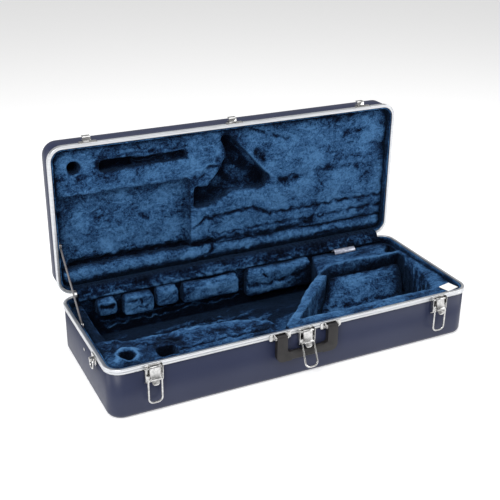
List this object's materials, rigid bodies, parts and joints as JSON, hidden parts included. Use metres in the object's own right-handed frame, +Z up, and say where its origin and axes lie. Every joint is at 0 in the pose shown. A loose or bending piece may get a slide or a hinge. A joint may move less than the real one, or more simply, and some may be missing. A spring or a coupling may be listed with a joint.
{
  "type": "instrument case",
  "caption": "Open moulded hard case for a mid-sized wind instrument: metal rims, draw latches, swing handle, end rings and a plush lining shaped to the instrument",
  "frame": {"origin": "centre of the flat bottom the case rests on", "axes": "+X along the length to the right seen from the front, -Y towards whoever opens the case, +Z up"},
  "size_m": [0.8092, 0.4114, 0.4305],
  "materials": {
    "shell_plastic": "satin moulded",
    "rim_metal": "satin anodised",
    "plush": "short pile plush over foam",
    "plush_strip": "short pile plush",
    "webbing": "woven tape",
    "plated_steel": "bright plated",
    "handle_plastic": "moulded",
    "card": "blank",
    "film": "silvery film"
  },
  "bodies": {
    "base": {"base_shell": "shell_plastic", "base_rim": "rim_metal", "base_lining": "plush", "accessory_block": "plush", "left_end_pad": "plush", "back_pad_1": "plush", "back_pad_2": "plush", "back_pad_3": "plush", "back_pad_4": "plush", "back_pad_5": "plush", "front_ledge": "plush", "bell_shelf": "plush", "bell_divider": "plush", "bell_cushion": "plush", "right_end_pad": "plush", "label_card": "card", "film_tag": "film", "hinge_left_base_leaf": "plated_steel", "hinge_center_base_leaf": "plated_steel", "hinge_right_base_leaf": "plated_steel", "hinge_left_pin": "plated_steel", "hinge_center_pin": "plated_steel", "hinge_right_pin": "plated_steel", "hinge_cover": "plush_strip", "strap_anchor_base": "plated_steel", "stay_strap": "webbing", "latch_left_plate": "plated_steel", "latch_center_plate": "plated_steel", "latch_right_plate": "plated_steel", "handle_bracket_left": "plated_steel", "handle_bracket_right": "plated_steel", "handle_pin_left": "plated_steel", "handle_pin_right": "plated_steel", "ring_bracket_left": "plated_steel", "ring_bracket_right": "plated_steel", "end_rivet_left": "plated_steel"},
    "lid": {"lid_shell": "shell_plastic", "lid_rim": "rim_metal", "lid_lining": "plush", "lid_hinge_roll": "plush", "lid_slot_panel": "plush", "lid_sunk_panel": "plush", "lid_center_panel": "plush", "lid_bell_panel": "plush", "strap_anchor_lid": "plated_steel", "hinge_left_lid_leaf": "plated_steel", "hinge_center_lid_leaf": "plated_steel", "hinge_right_lid_leaf": "plated_steel", "latch_left_strike": "plated_steel", "latch_center_strike": "plated_steel", "latch_right_strike": "plated_steel"},
    "lever_left": {"latch_left_lever": "plated_steel"},
    "bail_left": {"latch_left_bail": "plated_steel"},
    "lever_center": {"latch_center_lever": "plated_steel"},
    "bail_center": {"latch_center_bail": "plated_steel"},
    "lever_right": {"latch_right_lever": "plated_steel"},
    "bail_right": {"latch_right_bail": "plated_steel"},
    "handle": {"handle": "handle_plastic"},
    "ring_left": {"ring_left": "plated_steel"},
    "ring_right": {"ring_right": "plated_steel"}
  },
  "joints": [
    {"name": "lid_hinge", "type": "hinge", "parent": "base", "child": "lid", "pos_m": [0, 0.1595, 0.1045], "axis": [1, 0, 0], "range_deg": [0, 90], "deforming": ["stay_strap", "hinge_cover"]},
    {"name": "lever_left_pivot", "type": "hinge", "parent": "base", "child": "lever_left", "pos_m": [-0.312, -0.163, 0.0995], "axis": [1, 0, 0], "range_deg": [-75, 0]},
    {"name": "lever_center_pivot", "type": "hinge", "parent": "base", "child": "lever_center", "pos_m": [0, -0.163, 0.0995], "axis": [1, 0, 0], "range_deg": [-75, 0]},
    {"name": "lever_right_pivot", "type": "hinge", "parent": "base", "child": "lever_right", "pos_m": [0.312, -0.163, 0.0995], "axis": [1, 0, 0], "range_deg": [-75, 0]},
    {"name": "bail_left_swing", "type": "hinge", "parent": "lever_left", "child": "bail_left", "pos_m": [-0.312, -0.1675, 0.079], "axis": [-1, 0, 0], "range_deg": [0, 173.5]},
    {"name": "bail_center_swing", "type": "hinge", "parent": "lever_center", "child": "bail_center", "pos_m": [0, -0.1675, 0.079], "axis": [-1, 0, 0], "range_deg": [0, 148.5]},
    {"name": "bail_right_swing", "type": "hinge", "parent": "lever_right", "child": "bail_right", "pos_m": [0.312, -0.1675, 0.079], "axis": [-1, 0, 0], "range_deg": [0, 173.5]},
    {"name": "handle_swing", "type": "hinge", "parent": "base", "child": "handle", "pos_m": [0, -0.1643, 0.099], "axis": [-1, 0, 0], "range_deg": [0, 90]},
    {"name": "ring_left_swing", "type": "hinge", "parent": "base", "child": "ring_left", "pos_m": [-0.4009, -0.076, 0.092], "axis": [0, 1, 0], "range_deg": [0, 150]},
    {"name": "ring_right_swing", "type": "hinge", "parent": "base", "child": "ring_right", "pos_m": [0.4009, -0.076, 0.092], "axis": [0, -1, 0], "range_deg": [0, 150]}
  ],
  "couplings": [
    {"joint": "bail_center_swing", "follows": "handle_swing", "ratio": 1.65}
  ]
}
